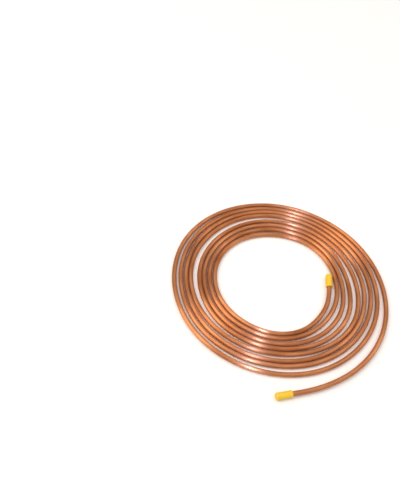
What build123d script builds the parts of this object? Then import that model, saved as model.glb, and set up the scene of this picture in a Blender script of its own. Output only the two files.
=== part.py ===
"""A flat coil of soft copper tube, 3/8 inch, in one layer, with a plastic cap over each end.

The origin is on the floor, in the middle of the coil's eye. +Z is up, +X is the coil's right and +Y is its back.
Sizes are in millimetres. Angles round the coil are in degrees, clockwise from its right as seen from above: the
front is 90, the left 180, the back 270 and the right 360. They go on from there into the next turn.
"""

import os
from bisect import bisect_right
from itertools import accumulate, pairwise
from math import cos, radians, sin, sqrt, tan

from build123d import *

os.makedirs("parts", exist_ok=True)

# The tube: 3/8 inch refrigeration tube, soft drawn, 9.14 m (30 ft) long.
tube_od = 9.525
tube_wall = 0.81

# The coil's plan. The eye is the clear space inside the coil, and its radius is taken where it is widest. Each row
# holds a place round the coil, as an angle, then how far the first turn is set in from the eye's radius there, and
# then the air between each turn and the next, from the eye outwards. The coil ends at the last place it reaches.
eye_radius = 132.35
places = [
    (45, 25.5, (5.0, 7.0, 6.0, 5.5, 0.5, 2.0, 6.0, 15.0)),
    (90, 7.0, (1.0, 3.5, 2.0, 2.0, 5.0, 1.5, 8.0, 27.5)),
    (135, 2.0, (2.0, 2.5, 2.0, 4.5, 4.0, 2.0, 5.0)),
    (180, 0.0, (1.5, 1.5, 0.5, 8.5, 0.5, 1.5, 4.0)),
    (225, 1.5, (1.5, 2.0, 1.5, 9.0, 1.5, 2.5, 4.0)),
    (270, 6.5, (5.0, 4.0, 3.0, 8.0, 1.5, 1.0, 2.5)),
    (315, 8.5, (2.5, 3.5, 4.0, 4.0, 3.0, 2.5, 3.0)),
    (360, 15.5, (2.0, 4.5, 7.5, 5.0, 4.5, 3.0, 5.5)),
]

# The two free ends are straight. The inner one starts where its cap's mouth is, with a little air between the cap
# and the turn outside it. The outer one leans out from its turn and is bare for a way before its cap.
inner_mouth = 10.5
inner_air = 0.3
outer_lean = 8.5
outer_bare = 19.0

# The caps: a close sleeve with a solid end, pushed over a straight end of the tube.
cap_wall = 2.1
cap_clearance = 0.1
cap_grip = 29.0
cap_end_wall = 3.0
cap_end_round = 2.5
cap_mouth_bevel = 1.4

tube_radius = tube_od / 2
cap_bore_radius = tube_radius + cap_clearance
cap_radius = cap_bore_radius + cap_wall

# The inner cap's far end is the nearest to the next turn, so the inner end's own radius follows from there.
inner_tip_radius = eye_radius - places[-1][1] - inner_air - cap_radius
inner_mouth_radius = sqrt(inner_tip_radius**2 - (cap_grip + cap_end_wall) ** 2)

# The middle of the tube at every place it passes, in order along the tube, as angle and radius.
stations = [(inner_mouth, inner_mouth_radius)]
for place, inset, air in places:
    steps = [eye_radius - inset + tube_radius] + [tube_od + gap for gap in air]
    stations += [(place + 360 * turn, radius) for turn, radius in enumerate(accumulate(steps))]
stations.sort()
angles, radii = zip(*stations)
slopes = [
    0,
    *[(after[1] - before[1]) / (after[0] - before[0]) for before, after in zip(stations, stations[2:])],
    tan(radians(outer_lean)) * radii[-1] * radians(1),
]


def coil_radius(angle):
    """Distance of the tube from the middle of the eye: a smooth cubic from each place to the next."""
    i = min(max(bisect_right(angles, angle) - 1, 0), len(angles) - 2)
    span = angles[i + 1] - angles[i]
    t = (angle - angles[i]) / span
    return (
        radii[i] * (2 * t**3 - 3 * t**2 + 1)
        + radii[i + 1] * (3 * t**2 - 2 * t**3)
        + slopes[i] * span * (t**3 - 2 * t**2 + t)
        + slopes[i + 1] * span * (t**3 - t**2)
    )


def coil_height(angle):
    """The tube lies on the floor. The caps are thicker and lie there too, so each end comes down in two bends."""
    inner_way = (angle - angles[0]) / (angles[2] - angles[0])
    outer_way = (angles[-1] - angle) / (angles[-1] - angles[-3])
    t = min(max(min(inner_way, outer_way), 0), 1)
    return cap_radius - (cap_radius - tube_radius) * (3 * t**2 - 2 * t**3)


def coil_point(angle):
    radius = coil_radius(angle)
    turned = radians(angle)
    return Vector(radius * cos(turned), -radius * sin(turned), coil_height(angle))


def coil_heading(angle, nudge=0.01):
    return (coil_point(angle + nudge) - coil_point(angle - nudge)).normalized()


def bend(start, start_heading, end, end_heading):
    """Two arcs that leave one point along its heading, meet smoothly and reach the next along its own."""
    chord = end - start
    along = chord.dot(start_heading + end_heading)
    spread = 2 * (1 - start_heading.dot(end_heading))
    reach = (sqrt(along**2 + spread * chord.dot(chord)) - along) / spread
    first_corner = start + start_heading * reach
    second_corner = end - end_heading * reach
    middle = (first_corner + second_corner) / 2
    TangentArc(start, middle, tangent=start_heading)
    TangentArc(middle, end, tangent=second_corner - first_corner)


def make_cap(mouth, direction):
    """A cap with its mouth at a point of the tube, closed at the end that the direction points to."""
    across = Plane(origin=mouth, z_dir=direction)
    with BuildPart() as cap:
        with BuildSketch(across):
            Circle(cap_radius)
        extrude(amount=cap_grip + cap_end_wall)
        ends = cap.edges().filter_by(GeomType.CIRCLE).sort_by(Axis(mouth, direction))
        chamfer(ends[0], length=cap_mouth_bevel)
        fillet(ends[-1], radius=cap_end_round)
        with BuildSketch(across):
            Circle(cap_bore_radius)
        extrude(amount=cap_grip, mode=Mode.SUBTRACT)
    return cap.part


inner_point, inner_direction = coil_point(angles[0]), -coil_heading(angles[0])
coil_end, outer_direction = coil_point(angles[-1]), coil_heading(angles[-1])
outer_point = coil_end + outer_direction * outer_bare

with BuildPart() as copper_tube:
    with BuildLine() as route:
        Line(inner_point + inner_direction * cap_grip, inner_point)
        for start, end in pairwise(angles):
            bend(coil_point(start), coil_heading(start), coil_point(end), coil_heading(end))
        Line(coil_end, outer_point + outer_direction * cap_grip)
    with BuildSketch(Plane(origin=inner_point + inner_direction * cap_grip, z_dir=-inner_direction)):
        Circle(tube_radius)
        Circle(tube_radius - tube_wall, mode=Mode.SUBTRACT)
    sweep()
print("tube length", round(sum(edge.length for edge in route.edges())), "mm")

inner_end_cap = make_cap(inner_point, inner_direction)
outer_end_cap = make_cap(outer_point, outer_direction)

copper_tube.part.label = "copper_tube"
export_step(copper_tube.part, "parts/copper_tube.step")
inner_end_cap.label = "inner_end_cap"
export_step(inner_end_cap, "parts/inner_end_cap.step")
outer_end_cap.label = "outer_end_cap"
export_step(outer_end_cap, "parts/outer_end_cap.step")
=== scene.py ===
# %% [markdown]
# # A coil of soft copper tube
#
# The object is one length of 3/8 inch copper tube, wound flat in a single layer, with a yellow plastic cap pushed
# over each end. This lesson bends the tube turn by turn, models the caps, and then gives both their finish.
#
# Everything is built over a measured model that is loaded first. It fixes where each piece is, so the work in
# Blender is about fine shape and surface. Blender's unit is the metre, and the sizes below are in millimetres, as
# they are on a drawing, so `mm` turns one into the other. Points closer together than a `hair` count as one.

# %% Load the measured model
from bisect import bisect_right
from itertools import accumulate, pairwise
from math import atan2, cos, degrees, pi, radians, sin, sqrt, tan

import bmesh
import bpy
from mathutils import Matrix, Vector


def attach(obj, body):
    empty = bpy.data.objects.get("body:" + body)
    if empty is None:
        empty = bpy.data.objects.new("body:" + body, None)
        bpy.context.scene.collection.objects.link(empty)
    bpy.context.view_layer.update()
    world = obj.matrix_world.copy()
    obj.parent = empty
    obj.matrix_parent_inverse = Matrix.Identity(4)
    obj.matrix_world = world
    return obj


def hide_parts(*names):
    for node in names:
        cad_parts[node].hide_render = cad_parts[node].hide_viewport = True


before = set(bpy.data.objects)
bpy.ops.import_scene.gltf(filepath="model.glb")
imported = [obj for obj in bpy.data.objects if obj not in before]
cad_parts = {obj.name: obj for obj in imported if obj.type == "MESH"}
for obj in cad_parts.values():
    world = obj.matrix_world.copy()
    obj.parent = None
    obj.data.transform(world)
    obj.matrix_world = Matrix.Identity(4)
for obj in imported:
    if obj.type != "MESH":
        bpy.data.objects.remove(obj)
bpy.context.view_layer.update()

mm = 0.001
hair = 0.01 * mm
bpy.ops.object.select_all(action="DESELECT")
print("pieces:", sorted(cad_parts))

# %% [markdown]
# ## The camera
#
# The coil is seen from the front and from above, about 49 degrees above the floor, with the camera a little to the
# left and rolled by five degrees. A 43 mm lens on a 36 mm sensor is close to what the eye sees, so the far turns
# are only slightly smaller than the near ones.

# %% Place the camera
bpy.ops.object.camera_add(
    location=(-0.3105, -0.7487, 0.9888), rotation=(radians(40.468), radians(-5.003), radians(-4.254))
)
camera = bpy.context.object
camera.data.lens = 43.2
camera.data.sensor_width = 36
bpy.context.scene.camera = camera
print("camera", round(camera.location.length, 3), "m from the coil")

# %% [markdown]
# ## The sizes of the stock
#
# The tube is a standard one, 9.525 mm across with a wall of 0.81 mm. A cap is a close sleeve with a solid end. It
# goes over the tube, so its bore follows from the tube and a clearance, and its outside from the bore and a wall.

# %% Write down the sizes
tube_od = 9.525 * mm
tube_wall = 0.81 * mm
tube_radius = tube_od / 2

cap_clearance = 0.1 * mm
cap_wall = 2.1 * mm
cap_grip = 29.0 * mm
cap_end_wall = 3.0 * mm
cap_bore_radius = tube_radius + cap_clearance
cap_radius = cap_bore_radius + cap_wall
cap_length = cap_grip + cap_end_wall
print("a cap is", round(2 * cap_radius / mm, 2), "mm across and", round(cap_length / mm, 1), "mm long")

# %% [markdown]
# ## The plan of the coil
#
# A coil that is wound by hand is never an even spiral. Its turns touch in one place and stand apart in another,
# so the plan is a table. Each row holds a place round the coil, as an angle in degrees that runs clockwise from the
# right, then how far the first turn is set in from the eye's radius there, and then the air between the turns, from
# the eye outwards, both in millimetres.
#
# The two free ends are straight. The inner one starts at an angle of its own, with a little air between its cap and
# the turn outside it. The outer one leans out from its turn, and is bare for a way before its cap.

# %% Write down the plan
eye_radius = 132.35 * mm
places = [
    (45, 25.5, (5.0, 7.0, 6.0, 5.5, 0.5, 2.0, 6.0, 15.0)),
    (90, 7.0, (1.0, 3.5, 2.0, 2.0, 5.0, 1.5, 8.0, 27.5)),
    (135, 2.0, (2.0, 2.5, 2.0, 4.5, 4.0, 2.0, 5.0)),
    (180, 0.0, (1.5, 1.5, 0.5, 8.5, 0.5, 1.5, 4.0)),
    (225, 1.5, (1.5, 2.0, 1.5, 9.0, 1.5, 2.5, 4.0)),
    (270, 6.5, (5.0, 4.0, 3.0, 8.0, 1.5, 1.0, 2.5)),
    (315, 8.5, (2.5, 3.5, 4.0, 4.0, 3.0, 2.5, 3.0)),
    (360, 15.5, (2.0, 4.5, 7.5, 5.0, 4.5, 3.0, 5.5)),
]
places_in_a_turn = len(places)
inner_mouth = 10.5
inner_air = 0.3 * mm
outer_lean = 8.5
outer_bare = 19.0 * mm
print(places_in_a_turn, "places in a turn, and", sum(len(air) for _, _, air in places), "widths of air")

# %% [markdown]
# ## Following the plan
#
# The table gives every place that the tube passes, in order along it: its angle and its distance from the middle of
# the eye. Between two places the distance follows a smooth cubic. That is the same idea as a Bezier handle: each
# place has a slope as well as a distance, and the slope is taken from its two neighbours.
#
# The tube lies on the floor. The caps are thicker and lie there too, so the tube is a little higher at its two ends.

# %% Work out where the tube passes each place
inner_tip_radius = eye_radius - places[-1][1] * mm - inner_air - cap_radius
stations = [(inner_mouth, sqrt(inner_tip_radius**2 - cap_length**2))]
for place, inset, air in places:
    steps = [eye_radius - inset * mm + tube_radius] + [tube_od + gap * mm for gap in air]
    stations += [(place + 360 * turn, radius) for turn, radius in enumerate(accumulate(steps))]
stations.sort()
angles, radii = zip(*stations)
slopes = [
    0,
    *[(after[1] - before[1]) / (after[0] - before[0]) for before, after in zip(stations, stations[2:])],
    tan(radians(outer_lean)) * radii[-1] * radians(1),
]
print("the tube passes", len(stations), "places in", round((angles[-1] - angles[0]) / 360, 2), "turns")


# %% Find any point of the tube
def coil_radius(angle):
    """Distance of the tube from the middle of the eye."""
    i = min(max(bisect_right(angles, angle) - 1, 0), len(angles) - 2)
    span = angles[i + 1] - angles[i]
    t = (angle - angles[i]) / span
    return (
        radii[i] * (2 * t**3 - 3 * t**2 + 1)
        + radii[i + 1] * (3 * t**2 - 2 * t**3)
        + slopes[i] * span * (t**3 - 2 * t**2 + t)
        + slopes[i + 1] * span * (t**3 - t**2)
    )


def coil_height(angle):
    """Height of the tube's middle. Each end comes down from its cap to the floor in two bends."""
    inner_way = (angle - angles[0]) / (angles[2] - angles[0])
    outer_way = (angles[-1] - angle) / (angles[-1] - angles[-3])
    t = min(max(min(inner_way, outer_way), 0), 1)
    return cap_radius - (cap_radius - tube_radius) * (3 * t**2 - 2 * t**3)


def coil_point(angle):
    """The middle of the tube at an angle. The minus sign makes angles run clockwise."""
    radius = coil_radius(angle)
    turned = radians(angle)
    return Vector((radius * cos(turned), -radius * sin(turned), coil_height(angle)))


def coil_heading(angle, nudge=0.01):
    """The way that the tube runs there, from a point just before it to one just after it."""
    return (coil_point(angle + nudge) - coil_point(angle - nudge)).normalized()


inner_point, inner_direction = coil_point(angles[0]), -coil_heading(angles[0])
coil_end, outer_direction = coil_point(angles[-1]), coil_heading(angles[-1])
outer_point = coil_end + outer_direction * outer_bare
print("the caps' mouths are", round((outer_point - inner_point).length / mm), "mm apart")

# %% [markdown]
# ## Bending the tube
#
# A tube like this leaves the mill straight and is bent round a former, arc after arc. It could be made from a
# curve with a bevel, but Blender's Spin does just what the bending machine does, so the mesh is made with it. Two
# circles, the outside and the bore, are the open end of the tube. Each spin carries them along one arc, round that
# arc's own middle, and leaves wall behind.
#
# Two arcs make one bend. They leave a place along its heading, meet smoothly, and arrive at the next place along
# its heading, so no kink shows where one bend ends and the next starts. Spin gets slow as a mesh grows, so after
# each turn the open end is carried over into a mesh of its own, and the lengths are joined when all are bent.
#
# The marks on a drawn tube run along it, round all its turns. A pattern can only follow them if each point knows
# where it was on the tube before it was bent. `rings` keeps where each ring of points is: how far along the tube,
# its middle, and its heading. From that each length gets an attribute, `straight`: the distance along the tube, then
# the place across it.

# %% Start the tube in the inner cap
outside_points = 32
bore_points = 16
ring_points = outside_points + bore_points
arc_step = radians(2.25)

tube_start = inner_point + inner_direction * cap_grip
facing = (-inner_direction).to_track_quat("Z", "Y").to_euler()
bpy.ops.mesh.primitive_circle_add(
    vertices=outside_points, radius=tube_radius, location=tube_start, rotation=facing, calc_uvs=False
)
bpy.ops.object.transform_apply(location=True, rotation=True, scale=True)
tube = bpy.context.object
tube.name = tube.data.name = "coiled_tube"

bpy.ops.object.mode_set(mode="EDIT")
bpy.ops.mesh.primitive_circle_add(
    vertices=bore_points, radius=tube_radius - tube_wall, location=tube_start, rotation=facing, calc_uvs=False
)
bpy.ops.mesh.select_all(action="SELECT")
rings = [(0, tube_start, -inner_direction)]
lengths = [tube]
print("the open end has", outside_points, "points outside and", bore_points, "in its bore")


# %% Draw the first straight
def draw_on(way):
    """Makes the tube longer, straight on."""
    bpy.ops.mesh.extrude_region_move(TRANSFORM_OT_translate={"value": way})
    along, middle, heading = rings[-1]
    rings.append((along + way.length, middle + way, heading))


draw_on(inner_point - tube_start)
print("straight in the inner cap:", round(rings[-1][0] / mm, 1), "mm")


# %% Bend the tube, length by length
def bend_on(end):
    """Bends the tube on, along the one arc that leaves its open end straight ahead and reaches the given point."""
    along, start, heading = rings[-1]
    chord = end - start
    inwards = (chord - heading * chord.dot(heading)).normalized()
    radius = chord.length_squared / (2 * chord.dot(inwards))
    angle = 2 * atan2(chord.dot(inwards), chord.dot(heading))
    centre = start + inwards * radius
    axis = inwards.cross(heading)
    count = max(round(angle / arc_step), 1)
    bpy.ops.mesh.spin(steps=count, angle=angle, center=centre, axis=axis)
    for step in range(1, count + 1):
        turned = Matrix.Rotation(-angle * step / count, 3, axis)
        rings.append((along + radius * angle * step / count, centre + turned @ (start - centre), turned @ heading))


def write_straight():
    """Writes each point's place on the straight tube into the length that is being bent, and leaves edit mode."""
    bpy.ops.object.mode_set(mode="OBJECT")
    mesh = lengths[-1].data
    own_rings = rings[-(len(mesh.vertices) // ring_points) :]
    places_on_tube = []
    for i, point in enumerate(mesh.vertices):
        along, middle, heading = own_rings[i // ring_points]
        side = heading.cross(Vector((0, 0, 1))).normalized()
        offset = point.co - middle
        places_on_tube += [along, offset.dot(side), offset.dot(side.cross(heading))]
    mesh.attributes.new("straight", "FLOAT_VECTOR", "POINT").data.foreach_set("vector", places_on_tube)


def start_length():
    """Carries a copy of the open end over into a mesh of its own, to bend on from there."""
    bpy.ops.mesh.duplicate()
    bpy.ops.mesh.separate(type="SELECTED")
    write_straight()
    (length,) = set(bpy.context.selected_objects) - {lengths[-1]}
    bpy.ops.object.select_all(action="DESELECT")
    length.select_set(True)
    bpy.context.view_layer.objects.active = length
    lengths.append(length)
    bpy.ops.object.mode_set(mode="EDIT")
    bpy.ops.mesh.select_all(action="SELECT")


for start_angle, end_angle in pairwise(angles):
    if start_angle in angles[places_in_a_turn::places_in_a_turn]:
        start_length()
    start, start_heading = coil_point(start_angle), coil_heading(start_angle)
    end, end_heading = coil_point(end_angle), coil_heading(end_angle)
    chord = end - start
    along = chord.dot(start_heading + end_heading)
    spread = 2 * (1 - start_heading.dot(end_heading))
    reach = (sqrt(along**2 + spread * chord.dot(chord)) - along) / spread
    bend_on((start + start_heading * reach + end - end_heading * reach) / 2)
    bend_on(end)
draw_on(outer_point + outer_direction * cap_grip - coil_end)
write_straight()
tube_length = rings[-1][0]
print("lengths:", len(lengths), "rings of points:", len(rings), "length of the tube:", round(tube_length / mm), "mm")

# %% [markdown]
# ## Joining the lengths and closing the ends
#
# Where two lengths meet, their rings lie on each other, so merging what is closer than a hair makes one wall of
# them. The wall is still open at each end of the tube, between the outside and the bore, and Fill closes it there.
# The shell is then closed all over, and recalculating its normals turns every face the right way. The volume tells
# whether it did: it is the copper's alone only where the bore faces inwards.

# %% Join the lengths
for length in lengths:
    length.select_set(True)
bpy.context.view_layer.objects.active = tube
bpy.ops.object.join()
bpy.ops.object.mode_set(mode="EDIT")
bpy.ops.mesh.select_all(action="SELECT")
bpy.ops.mesh.remove_doubles(threshold=hair)
print("points:", len(bmesh.from_edit_mesh(tube.data).verts))

# %% Close the ends and check the shell
bpy.ops.mesh.select_mode(type="VERT")
for end in (tube_start, rings[-1][1]):
    bpy.ops.mesh.select_all(action="DESELECT")
    edit_mesh = bmesh.from_edit_mesh(tube.data)
    for point in edit_mesh.verts:
        point.select_set((point.co - end).length < tube_radius + 5 * hair)
    edit_mesh.select_flush(True)
    bmesh.update_edit_mesh(tube.data)
    bpy.ops.mesh.fill()
bpy.ops.mesh.select_all(action="SELECT")
bpy.ops.mesh.normals_make_consistent(inside=False)
edit_mesh = bmesh.from_edit_mesh(tube.data)
open_edges = sum(not edge.is_manifold for edge in edit_mesh.edges)
copper_volume = edit_mesh.calc_volume(signed=True) / mm**3
bpy.ops.object.mode_set(mode="OBJECT")
bpy.ops.object.shade_smooth_by_angle(angle=radians(30))
print("open edges:", open_edges, "copper in mm3:", round(copper_volume))

# %% [markdown]
# ## The wall, laid out flat
#
# The gloss of a drawn tube is not the same in all directions, so its shader has to know which way is round the tube
# and which is along it. A UV map can say that. This one is the wall slit open and laid out flat: u is the way round,
# one turn wide, and v is the way along, in the same measure. At the slit a face has some of its corners at the start
# of the turn and some at its end, so each corner is brought to the same side as the face's first.

# %% Lay the wall out flat
tube_round = tube_od * pi
tube_mesh = tube.data
straight_places = tube_mesh.attributes["straight"].data
flat_wall = tube_mesh.uv_layers.new(name="flat_wall")
for face in tube_mesh.polygons:
    turns_round = []
    for loop in face.loop_indices:
        along, across, up = straight_places[tube_mesh.loops[loop].vertex_index].vector
        turn_round = atan2(up, across) / (2 * pi)
        if turns_round:
            turn_round += round(turns_round[0] - turn_round)
        turns_round.append(turn_round)
        flat_wall.uv[loop].vector = (turn_round, along / tube_round)
print("the flat wall is", round(tube_length / tube_round), "times as long as wide")

# %% [markdown]
# ## The caps
#
# Each cap is moulded in soft polyethylene: a sleeve, closed at one end, that grips the tube and keeps dirt and damp
# out. It is round from end to end, so it starts from a cylinder. Its mouth is inset and pushed in to make the bore,
# its closed end gets the shallow dimple that the moulding gate leaves, and its edges are bevelled.
#
# One cap is modelled lying along the Z axis, with its mouth at the origin. The second is a copy with a mesh of its
# own, and each is then turned to its end of the tube.

# %% Start a cap from a cylinder
bpy.ops.mesh.primitive_cylinder_add(
    vertices=64, radius=cap_radius, depth=cap_length, location=(0, 0, cap_length / 2), end_fill_type="NGON"
)
bpy.ops.object.transform_apply(location=True, rotation=True, scale=True)
inner_cap = bpy.context.object
inner_cap.name = inner_cap.data.name = "inner_cap"
cap_mesh = inner_cap.data
print(inner_cap.name, "starts with", len(cap_mesh.polygons), "faces")

# %% Push in its bore and the dimple in its end
dimple_radius = 1.9 * mm
dimple_slope = 0.5 * mm
dimple_depth = 0.5 * mm


def pick(mesh, kind, wanted):
    """Selects the faces or edges of a mesh in edit mode whose middle is where it is wanted."""
    bpy.ops.mesh.select_all(action="DESELECT")
    edit_mesh = bmesh.from_edit_mesh(mesh)
    count = 0
    for item in getattr(edit_mesh, kind):
        middle = sum((point.co for point in item.verts), Vector()) / len(item.verts)
        if wanted(item, middle):
            item.select_set(True)
            count += 1
    bmesh.update_edit_mesh(mesh)
    return count


bpy.ops.object.mode_set(mode="EDIT")
bpy.ops.mesh.select_mode(type="FACE")
pick(cap_mesh, "faces", lambda face, middle: middle.z < hair)
bpy.ops.mesh.inset(thickness=cap_radius - cap_bore_radius)
bpy.ops.mesh.extrude_region_move(TRANSFORM_OT_translate={"value": (0, 0, cap_grip)})
pick(cap_mesh, "faces", lambda face, middle: middle.z > cap_length - hair)
bpy.ops.mesh.inset(thickness=cap_radius - dimple_radius)
bpy.ops.mesh.inset(thickness=dimple_slope, depth=-dimple_depth)
print("the bore is", round(cap_grip / mm, 1), "mm deep and the dimple", round(dimple_depth / mm, 1), "mm")

# %% Bevel its rims
soft_edge = 0.3 * mm
cap_mouth_bevel = 1.4 * mm
cap_end_round = 2.5 * mm
rims = [
    # height of the rim, its radius, width of the bevel, segments
    (0, cap_radius, cap_mouth_bevel, 3),
    (0, cap_bore_radius, soft_edge, 3),
    (cap_length, cap_radius, cap_end_round, 8),
    (cap_length, dimple_radius, soft_edge, 3),
]


def is_rim(height, radius):
    """A test for the edges of a round rim at a height."""
    return lambda edge, middle: all(
        abs(point.co.z - height) < hair and abs(Vector(point.co[:2]).length - radius) < hair for point in edge.verts
    )


bpy.ops.mesh.select_mode(type="EDGE")
for height, radius, width, segments in rims:
    found = pick(cap_mesh, "edges", is_rim(height, radius))
    bpy.ops.mesh.bevel(offset=width, segments=segments, affect="EDGES")
    print("bevelled", found, "edges at", round(height / mm, 1), "mm")
bpy.ops.object.mode_set(mode="OBJECT")
bpy.ops.object.shade_smooth_by_angle(angle=radians(35))

# %% Copy it and turn each cap to its end
bpy.ops.object.duplicate()
outer_cap = bpy.context.object
outer_cap.name = outer_cap.data.name = "outer_cap"
for cap, mouth, direction in ((inner_cap, inner_point, inner_direction), (outer_cap, outer_point, outer_direction)):
    bpy.ops.object.select_all(action="DESELECT")
    cap.select_set(True)
    bpy.context.view_layer.objects.active = cap
    cap.location = mouth
    cap.rotation_euler = direction.to_track_quat("Z", "Y").to_euler()
    bpy.ops.object.transform_apply(location=True, rotation=True, scale=True)
    print(cap.name, "mouth at", [round(part / mm, 1) for part in mouth], "faces", len(cap.data.polygons))

# %% [markdown]
# ## Two helpers for materials
#
# Colours are easiest to choose as hex values, as on a paint card. Blender wants light itself, so one function turns
# them to linear values. A second adds one node, with its settings and its links, so that each material reads as a
# list of steps.
#
# A Mix node has a pair of sockets for each kind of value, and all the pairs share their names, so its colour sockets
# are called by their numbers.


# %% Define the helpers
def colour(paint):
    """The linear colour of an sRGB hex value."""
    parts = [int(paint[i : i + 2], 16) / 255 for i in (1, 3, 5)]
    return [part / 12.92 if part <= 0.04045 else ((part + 0.055) / 1.055) ** 2.4 for part in parts] + [1]


def add_node(owner, kind, inputs=None, **settings):
    """Adds a node to a material or a world. Its inputs are values, or other nodes' outputs, which are then linked."""
    tree = owner.node_tree
    node = tree.nodes.new(kind)
    for name, value in settings.items():
        setattr(node, name, value)
    for name, value in (inputs or {}).items():
        if isinstance(value, bpy.types.NodeSocket):
            tree.links.new(value, node.inputs[name])
        else:
            node.inputs[name].default_value = value
    return node


def new_material(name):
    """A material with nothing in its node tree yet."""
    material = bpy.data.materials.new(name)
    material.use_nodes = True
    material.node_tree.nodes.clear()
    return material


first_colour, second_colour, mixed_colour = 6, 7, 2
print("orange is", [round(part, 3) for part in colour("#ff8000")])

# %% [markdown]
# ## Copper, drawn and annealed
#
# Soft copper tube is drawn through a die and then annealed. The die leaves fine lines along it, and the air in the
# furnace and in the store leaves a thin, uneven tarnish, redder and duller than the bare metal. It stays a metal, so
# metallic is 1 and all its colour is in its reflections. Where one turn reflects another the colour is taken twice,
# which is why real coils look so much deeper in colour between the turns.
#
# Two noises follow the straight tube, long along it and narrow across it. The narrow one is the die lines. Real ones
# are about a tenth of a millimetre apart, which is too fine to show, so they are drawn 0.7 mm apart.
#
# The finer lines show in another way. Light spreads across them and hardly along them, so a lamp's reflection is a
# short band that goes round each turn. That is what Anisotropic does: 0 is a polished ball and 1 is a brushed
# surface, and the tangent, from the wall's UV map, says which way the light is spread.

# %% Lay two patterns along the tube
line_length, line_width = 90 * mm, 0.7 * mm
patch_length, patch_width = 55 * mm, 9 * mm

copper = new_material("drawn_annealed_copper")
place_on_tube = add_node(copper, "ShaderNodeAttribute", attribute_name="straight").outputs["Vector"]
line_place = add_node(
    copper,
    "ShaderNodeVectorMath",
    {0: place_on_tube, 1: (1 / line_length, 1 / line_width, 1 / line_width)},
    operation="MULTIPLY",
)
lines = add_node(
    copper,
    "ShaderNodeTexNoise",
    {"Vector": line_place.outputs[0], "Scale": 1, "Detail": 3, "Roughness": 0.6},
)
patch_place = add_node(
    copper,
    "ShaderNodeVectorMath",
    {0: place_on_tube, 1: (1 / patch_length, 1 / patch_width, 1 / patch_width)},
    operation="MULTIPLY",
)
patches = add_node(
    copper,
    "ShaderNodeTexNoise",
    {"Vector": patch_place.outputs[0], "Scale": 1, "Detail": 4, "Roughness": 0.55},
)
print("die lines", round(line_width / mm, 1), "mm apart, patches of tarnish", round(patch_length / mm), "mm long")

# %% Make the copper from them
tarnish = add_node(
    copper,
    "ShaderNodeMapRange",
    {"Value": patches.outputs[0], "From Min": 0.35, "From Max": 0.7},
)
metal_colour = add_node(
    copper,
    "ShaderNodeMix",
    {"Factor": tarnish.outputs["Result"], first_colour: colour("#d79163"), second_colour: colour("#b46e44")},
    data_type="RGBA",
)
sheen = add_node(
    copper,
    "ShaderNodeMapRange",
    {"Value": tarnish.outputs["Result"], "To Min": 0.34, "To Max": 0.42},
)
die_marks = add_node(
    copper,
    "ShaderNodeBump",
    {"Height": lines.outputs[0], "Strength": 0.2, "Distance": 0.04 * mm},
)
round_wall = add_node(copper, "ShaderNodeTangent", direction_type="UV_MAP", uv_map=flat_wall.name)
copper_surface = add_node(
    copper,
    "ShaderNodeBsdfPrincipled",
    {
        "Base Color": metal_colour.outputs[mixed_colour],
        "Metallic": 1,
        "Roughness": sheen.outputs["Result"],
        "Normal": die_marks.outputs["Normal"],
        "Anisotropic": 0.97,
        "Tangent": round_wall.outputs["Tangent"],
    },
)
add_node(copper, "ShaderNodeOutputMaterial", {"Surface": copper_surface.outputs["BSDF"]})
tube.data.materials.append(copper)
print(copper.name, "has", len(copper.node_tree.nodes), "nodes")

# %% [markdown]
# ## Polyethylene, moulded
#
# The caps are low-density polyethylene with a yellow pigment. It is soft and slightly waxy, so its gloss is broad,
# and its skin has a fine grain from the mould. Handling leaves it scuffed, which shows as duller patches.

# %% Make the plastic
grain_size = 0.8 * mm
scuff_size = 6 * mm

plastic = new_material("moulded_polyethylene")
on_cap = add_node(plastic, "ShaderNodeTexCoord").outputs["Object"]
grain = add_node(plastic, "ShaderNodeTexNoise", {"Vector": on_cap, "Scale": 1 / grain_size, "Detail": 3})
scuffs = add_node(
    plastic,
    "ShaderNodeTexNoise",
    {"Vector": on_cap, "Scale": 1 / scuff_size, "Detail": 5, "Roughness": 0.65},
)
scuffed = add_node(plastic, "ShaderNodeMapRange", {"Value": scuffs.outputs[0], "From Min": 0.45, "From Max": 0.7})
cap_colour = add_node(
    plastic,
    "ShaderNodeMix",
    {"Factor": scuffed.outputs["Result"], first_colour: colour("#deb018"), second_colour: colour("#d2a424")},
    data_type="RGBA",
)
cap_gloss = add_node(
    plastic,
    "ShaderNodeMapRange",
    {"Value": scuffed.outputs["Result"], "To Min": 0.38, "To Max": 0.55},
)
cap_skin = add_node(plastic, "ShaderNodeBump", {"Height": grain.outputs[0], "Strength": 0.15, "Distance": 0.05 * mm})
plastic_surface = add_node(
    plastic,
    "ShaderNodeBsdfPrincipled",
    {
        "Base Color": cap_colour.outputs[mixed_colour],
        "Roughness": cap_gloss.outputs["Result"],
        "Normal": cap_skin.outputs["Normal"],
        "IOR": 1.51,
    },
)
add_node(plastic, "ShaderNodeOutputMaterial", {"Surface": plastic_surface.outputs["BSDF"]})
for cap in (inner_cap, outer_cap):
    cap.data.materials.append(plastic)
print(plastic.name, "has", len(plastic.node_tree.nodes), "nodes")

# %% [markdown]
# ## The floor
#
# The coil lies on white paper. The sheet is far larger than the coil, so that its edge stays out of the picture from
# above and makes a level horizon from low down.

# %% Lay the floor
bpy.ops.mesh.primitive_plane_add(size=40, location=(0, 0, 0))
floor = bpy.context.object
floor.name = "floor"
paper = new_material("white_paper")
paper_surface = add_node(paper, "ShaderNodeBsdfPrincipled", {"Base Color": colour("#fafafc"), "Roughness": 0.8})
add_node(paper, "ShaderNodeOutputMaterial", {"Surface": paper_surface.outputs["BSDF"]})
floor.data.materials.append(paper)
print("the floor is", round(floor.dimensions.x), "m wide")

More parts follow.
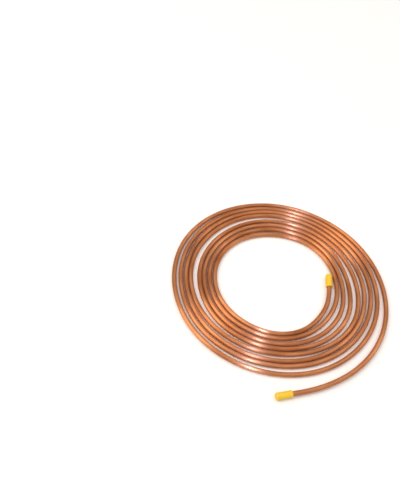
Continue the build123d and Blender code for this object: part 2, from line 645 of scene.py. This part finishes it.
# %% [markdown]
# ## The lamps
#
# A large warm lamp at the left mirrors itself in the turns at the front left and the back right, where it makes broad
# golden fields, and a weak one at the right does the same on the other two sides. The last is a small, cooler lamp
# just above the camera. A turn mirrors it only where the tube runs square to the line of sight, so it draws one
# narrow pale band across all the turns at the front and another at the back. It would also shine into every slot
# that the camera sees and draw a pale line between the turns, so it is linked to the pieces alone and leaves the
# floor out.
#
# Each lamp is aimed at the middle of the coil: a lamp shines down its own -Z axis, so that axis is turned along the
# way from its place to the origin.

# %% Hang the lamps
lamps = [
    # name, where it hangs, its two sides in metres, its power in watts, its tint
    ("left", (-1.9, 0.0, 2.0), (1.8, 2.8), 37, "#fff0dd"),
    ("right", (2.0, 0.4, 2.0), (0.9, 0.9), 5, "#fff6ec"),
    ("above_camera", (-0.31, -0.75, 1.4), (0.12, 0.12), 17, "#a4beff"),
]
for name, place, sides, power, tint in lamps:
    aim = (-Vector(place)).to_track_quat("-Z", "Y").to_euler()
    bpy.ops.object.light_add(type="AREA", location=place, rotation=aim)
    lamp = bpy.context.object
    lamp.name = name
    lamp.data.shape = "RECTANGLE"
    lamp.data.size, lamp.data.size_y = sides
    lamp.data.energy = power
    lamp.data.color = colour(tint)[:3]
    print(name, round(degrees(atan2(place[1], place[0]))), "degrees round,", round(Vector(place).length, 2), "m away")

# %% Link the last lamp to the pieces alone
lit_pieces = bpy.data.collections.new("lit_from_above_camera")
for piece in (tube, inner_cap, outer_cap):
    lit_pieces.objects.link(piece)
lamp.light_linking.receiver_collection = lit_pieces

# %% [markdown]
# ## The sky
#
# The light is what makes a coil read as metal. Most of it comes from a soft white sky. The sky is darker towards the
# horizon, as a studio is beyond its lamps, and the tube's sides mirror that: each turn gets darker edges and reads as
# round. With a sky as bright all round, the turns would be flat orange ribbons.
#
# The world's Generated coordinates are the way that each ray looks, one long, so their Z is 0 at the horizon and 1
# overhead. Up to 0.25 the sky has the horizon's strength and from 0.9 the one overhead, and it changes smoothly
# between the two.

# %% Make the sky
horizon_strength, overhead_strength = 0.45, 1.14
world = bpy.data.worlds.new("studio")
bpy.context.scene.world = world
world.use_nodes = True
sky = world.node_tree.nodes["Background"]
sky.inputs["Color"].default_value = colour("#fdfaf6")
sky_way = add_node(world, "ShaderNodeTexCoord").outputs["Generated"]
sky_height = add_node(world, "ShaderNodeSeparateXYZ", {"Vector": sky_way}).outputs["Z"]
sky_light = add_node(
    world,
    "ShaderNodeMapRange",
    {
        "Value": sky_height,
        "From Min": 0.25,
        "From Max": 0.9,
        "To Min": horizon_strength,
        "To Max": overhead_strength,
    },
    interpolation_type="SMOOTHSTEP",
)
world.node_tree.links.new(sky_light.outputs["Result"], sky.inputs["Strength"])
bpy.context.scene.view_settings.view_transform = "Standard"
print("the sky's strength is", horizon_strength, "at the horizon and", overhead_strength, "overhead")

# %% [markdown]
# ## Handing over
#
# Each piece rides on the coil's one body and says which measured piece it stands for, and that measured piece is
# hidden.

# %% Say what each piece is
for piece, node, finish in (
    (tube, "copper_tube", "copper"),
    (inner_cap, "inner_end_cap", "yellow_plastic"),
    (outer_cap, "outer_end_cap", "yellow_plastic"),
):
    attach(piece, "root")
    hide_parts(node)
    print(piece.name, "stands for", node)
